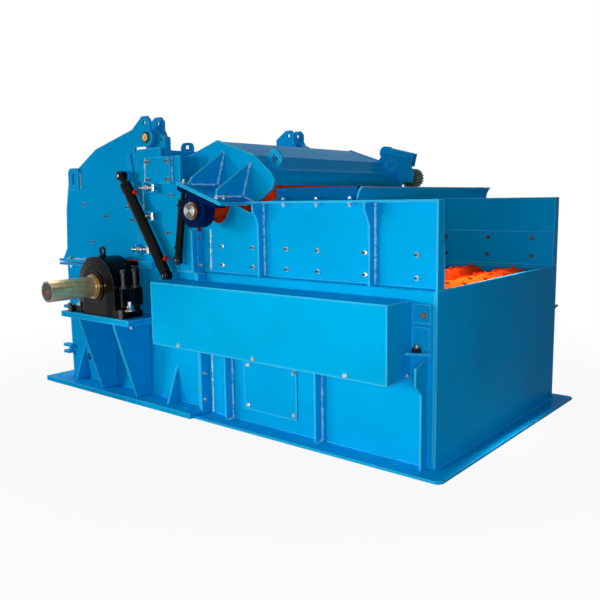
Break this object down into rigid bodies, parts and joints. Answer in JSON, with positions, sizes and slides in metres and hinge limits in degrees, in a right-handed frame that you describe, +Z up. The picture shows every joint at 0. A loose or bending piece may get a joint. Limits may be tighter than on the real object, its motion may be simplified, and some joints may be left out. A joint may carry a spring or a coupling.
{
  "type": "horizontal hammer mill",
  "caption": "Horizontal hammer mill: open infeed trough with driven bed rolls, a lifting toothed feed roll, a hinged rotor hood, side bearing pedestals and a chain guard.",
  "frame": {"origin": "middle of the bounding box at floor level", "axes": "+X along the machine towards the infeed end, +Y along the rotor to the far side, +Z up"},
  "size_m": [3.48, 2.892, 1.966],
  "materials": {
    "blue_paint": "gloss",
    "black_paint": "gloss",
    "navy_paint": "gloss",
    "shaft_steel": "turned and oiled",
    "rotor_steel": "rough",
    "orange_paint": "satin",
    "green_paint": "satin"
  },
  "bodies": {
    "frame": {"rotor_base": "blue_paint", "near_side_wall": "blue_paint", "far_side_wall": "blue_paint", "rear_wall": "blue_paint", "near_pedestal": "blue_paint", "far_pedestal": "blue_paint", "near_bearing": "black_paint", "far_bearing": "black_paint", "near_post": "blue_paint", "far_post": "blue_paint", "portal_beam": "blue_paint", "infeed_base": "blue_paint", "near_lower_wall": "blue_paint", "far_lower_wall": "blue_paint", "near_trough_wall": "blue_paint", "far_trough_wall": "blue_paint", "end_plate": "blue_paint", "bed_floor": "blue_paint", "trough_liners": "blue_paint", "chain_guard": "blue_paint", "takeup_bracket": "blue_paint", "inspection_cover": "blue_paint", "deflector_flap": "blue_paint", "edge_strips": "blue_paint"},
    "hood": {"hood_near_side": "blue_paint", "hood_far_side": "blue_paint", "hood_top": "blue_paint"},
    "rotor": {"rotor_shaft": "shaft_steel", "rotor_discs": "rotor_steel"},
    "feed_arm": {"arm_near_bracket": "blue_paint", "arm_far_bracket": "blue_paint", "roll_cover": "blue_paint", "roll_bearings": "navy_paint", "feed_gearbox": "blue_paint", "feed_motor": "green_paint"},
    "feed_roll": {"feed_roll": "orange_paint", "feed_roll_shaft": "shaft_steel"},
    "bed_roll_1": {"bed_roll_1": "orange_paint"},
    "bed_roll_2": {"bed_roll_2": "orange_paint"},
    "bed_roll_3": {"bed_roll_3": "orange_paint"},
    "bed_roll_4": {"bed_roll_4": "orange_paint"},
    "hood_barrels": {"hood_barrels": "black_paint"},
    "hood_rods": {"hood_rods": "black_paint"},
    "arm_barrels": {"arm_barrels": "black_paint"},
    "arm_rods": {"arm_rods": "black_paint"}
  },
  "joints": [
    {"name": "hood_hinge", "type": "hinge", "parent": "frame", "child": "hood", "pos_m": [-0.573, 0, 1.824], "axis": [0, 1, 0], "range_deg": [0, 45]},
    {"name": "arm_pivot", "type": "hinge", "parent": "frame", "child": "feed_arm", "pos_m": [-0.443, 0, 1.599], "axis": [0, -1, 0], "range_deg": [0, 28]},
    {"name": "rotor_spin", "type": "hinge", "parent": "frame", "child": "rotor", "pos_m": [-0.861, 0, 0.822], "axis": [0, 1, 0], "continuous": true},
    {"name": "feed_roll_spin", "type": "hinge", "parent": "feed_arm", "child": "feed_roll", "pos_m": [0.035, 0, 1.336], "axis": [0, 1, 0], "continuous": true},
    {"name": "bed_roll_1_spin", "type": "hinge", "parent": "frame", "child": "bed_roll_1", "pos_m": [1.374, 0, 0.777], "axis": [0, 1, 0], "continuous": true},
    {"name": "bed_roll_2_spin", "type": "hinge", "parent": "frame", "child": "bed_roll_2", "pos_m": [1.059, 0, 0.777], "axis": [0, 1, 0], "continuous": true},
    {"name": "bed_roll_3_spin", "type": "hinge", "parent": "frame", "child": "bed_roll_3", "pos_m": [0.744, 0, 0.777], "axis": [0, 1, 0], "continuous": true},
    {"name": "bed_roll_4_spin", "type": "hinge", "parent": "frame", "child": "bed_roll_4", "pos_m": [0.429, 0, 0.777], "axis": [0, 1, 0], "continuous": true},
    {"name": "hood_cylinder_swing", "type": "hinge", "parent": "frame", "child": "hood_barrels", "pos_m": [-0.339, 0, 0.908], "axis": [0, 1, 0], "range_deg": [-2, 2]},
    {"name": "hood_cylinder_stroke", "type": "slide", "parent": "hood_barrels", "child": "hood_rods", "axis": [-0.5501, 0, 0.8351], "range_m": [0, 0.26]},
    {"name": "arm_cylinder_swing", "type": "hinge", "parent": "frame", "child": "arm_barrels", "pos_m": [-0.247, 0, 1.012], "axis": [0, 1, 0], "range_deg": [-4, 4]},
    {"name": "arm_cylinder_stroke", "type": "slide", "parent": "arm_barrels", "child": "arm_rods", "axis": [0.1651, 0, 0.9863], "range_m": [0, 0.18]}
  ],
  "couplings": [
    {"joint": "bed_roll_2_spin", "follows": "bed_roll_1_spin", "ratio": 1},
    {"joint": "bed_roll_3_spin", "follows": "bed_roll_1_spin", "ratio": 1},
    {"joint": "bed_roll_4_spin", "follows": "bed_roll_1_spin", "ratio": 1},
    {"joint": "hood_cylinder_swing", "follows": "hood_hinge", "ratio": -0.00355},
    {"joint": "hood_cylinder_stroke", "follows": "hood_hinge", "m_per_rad": 0.3175},
    {"joint": "arm_cylinder_swing", "follows": "arm_pivot", "ratio": 0.04454},
    {"joint": "arm_cylinder_stroke", "follows": "arm_pivot", "m_per_rad": 0.29806}
  ]
}
